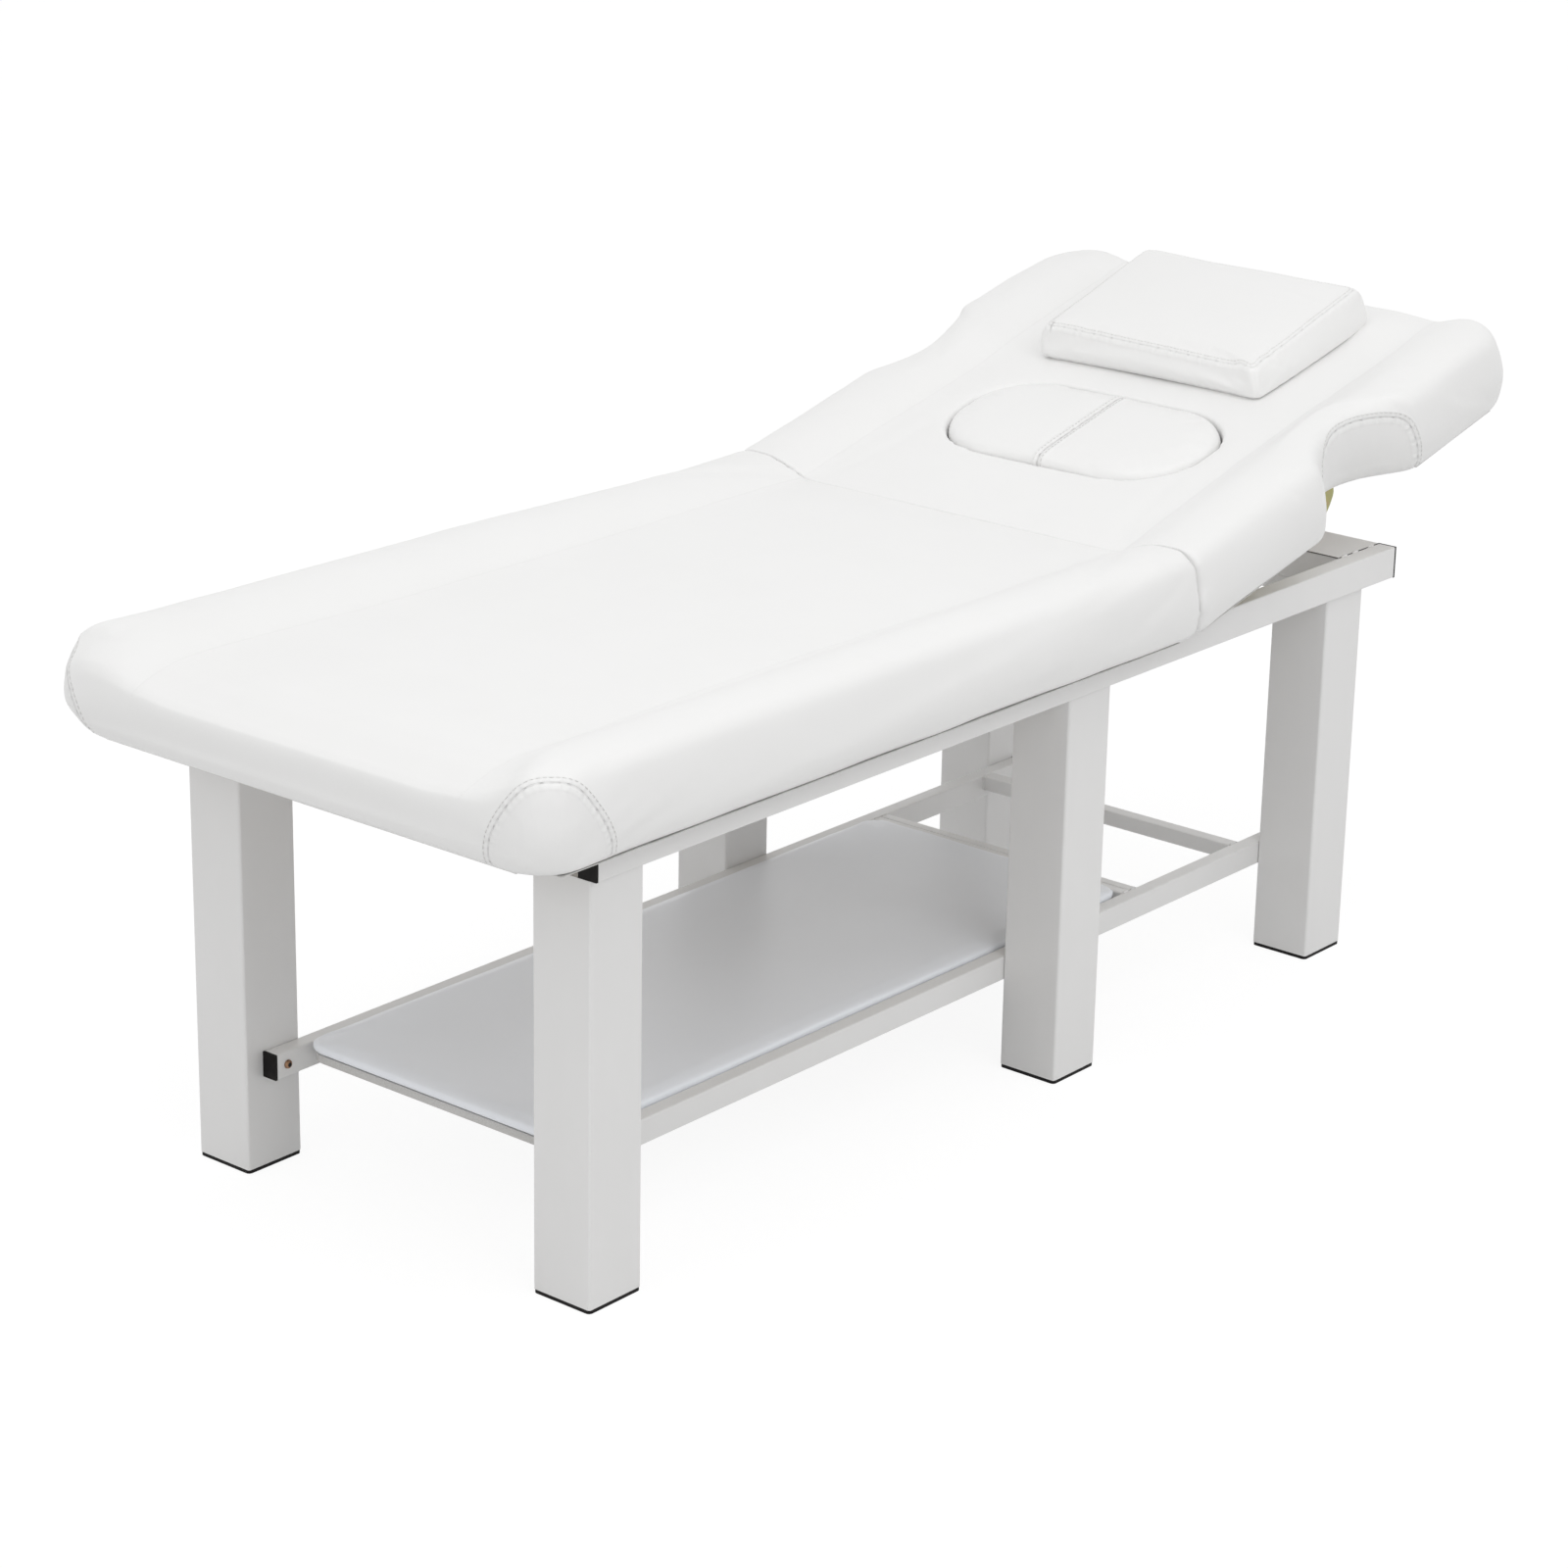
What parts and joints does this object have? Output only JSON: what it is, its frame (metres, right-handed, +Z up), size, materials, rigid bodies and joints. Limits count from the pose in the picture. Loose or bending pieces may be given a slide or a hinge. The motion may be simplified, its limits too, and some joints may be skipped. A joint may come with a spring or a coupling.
{
  "type": "massage table",
  "caption": "Padded treatment table on square steel legs with a tilting head section, face hole with plug, arm notches, loose pillow and a padded storage shelf.",
  "frame": {"origin": "middle of the table's outline on the floor, with the head section at its rest tilt", "axes": "+X towards the head end, +Y across the table to the far side of the picture, +Z up"},
  "size_m": [1.8158, 0.716, 0.809],
  "materials": {
    "painted_steel": "satin",
    "black_plastic": "matte",
    "upholstery": "satin",
    "shelf_vinyl": "satin",
    "plywood": "matte",
    "grey_board": "matte",
    "yellow_zinc": "satin",
    "zinc_steel": "satin",
    "brass_bolt": "satin"
  },
  "bodies": {
    "stand": {"leg_foot_near": "painted_steel", "foot_plug_foot_near": "black_plastic", "lower_bolt_foot_near": "brass_bolt", "leg_foot_far": "painted_steel", "foot_plug_foot_far": "black_plastic", "lower_bolt_foot_far": "brass_bolt", "leg_middle_near": "painted_steel", "foot_plug_middle_near": "black_plastic", "lower_bolt_middle_near": "brass_bolt", "leg_middle_far": "painted_steel", "foot_plug_middle_far": "black_plastic", "lower_bolt_middle_far": "brass_bolt", "leg_head_near": "painted_steel", "foot_plug_head_near": "black_plastic", "lower_bolt_head_near": "brass_bolt", "leg_head_far": "painted_steel", "foot_plug_head_far": "black_plastic", "lower_bolt_head_far": "brass_bolt", "upper_rail_near": "painted_steel", "lower_rail_near": "painted_steel", "upper_cap_foot_near": "black_plastic", "upper_cap_head_near": "black_plastic", "lower_cap_foot_near": "black_plastic", "lower_cap_head_near": "black_plastic", "prop_rack_near": "yellow_zinc", "hinge_fixed_leaf_near": "zinc_steel", "upper_rail_far": "painted_steel", "lower_rail_far": "painted_steel", "upper_cap_foot_far": "black_plastic", "upper_cap_head_far": "black_plastic", "lower_cap_foot_far": "black_plastic", "lower_cap_head_far": "black_plastic", "prop_rack_far": "yellow_zinc", "hinge_fixed_leaf_far": "zinc_steel", "foot_cross_tube": "painted_steel", "middle_cross_tube": "painted_steel", "hinge_cross_tube": "painted_steel", "head_beam": "painted_steel", "shelf_foot_bar": "painted_steel", "divider_bar_foot_side": "painted_steel", "divider_bar_head_side": "painted_steel", "lower_head_bar": "painted_steel", "shelf_board": "grey_board", "bed_board": "plywood", "shelf_pad": "shelf_vinyl", "bed_cushion": "upholstery", "bed_cushion_fold": "upholstery"},
    "head_section": {"hinge_moving_leaf_near": "zinc_steel", "prop_bracket_near": "yellow_zinc", "hinge_moving_leaf_far": "zinc_steel", "prop_bracket_far": "yellow_zinc", "head_board": "plywood", "head_cushion": "upholstery", "head_cushion_fold": "upholstery"},
    "prop": {"prop_arm_near": "yellow_zinc", "prop_arm_far": "yellow_zinc", "prop_rod": "zinc_steel"},
    "plug": {"face_plug": "upholstery"},
    "loose_pillow": {"pillow": "upholstery"}
  },
  "joints": [
    {"name": "head_tilt", "type": "hinge", "parent": "stand", "child": "head_section", "pos_m": [0.20714, 0, 0.5156], "axis": [0, -1, 0], "range_deg": [-13.5, 31.5], "deforming": ["bed_cushion_fold", "head_cushion_fold"]},
    {"name": "prop_swing", "type": "hinge", "parent": "head_section", "child": "prop", "pos_m": [0.56769, 0, 0.58159], "axis": [0, -1, 0], "range_deg": [-6, 13]},
    {"name": "plug_lift", "type": "slide", "parent": "head_section", "child": "plug", "axis": [-0.2334, 0, 0.9724], "range_m": [0, 0.12]},
    {"name": "pillow_lift", "type": "slide", "parent": "head_section", "child": "loose_pillow", "axis": [-0.2334, 0, 0.9724], "range_m": [0, 0.15]}
  ],
  "couplings": [
    {"joint": "prop_swing", "follows": "head_tilt", "ratio": 0.38}
  ]
}
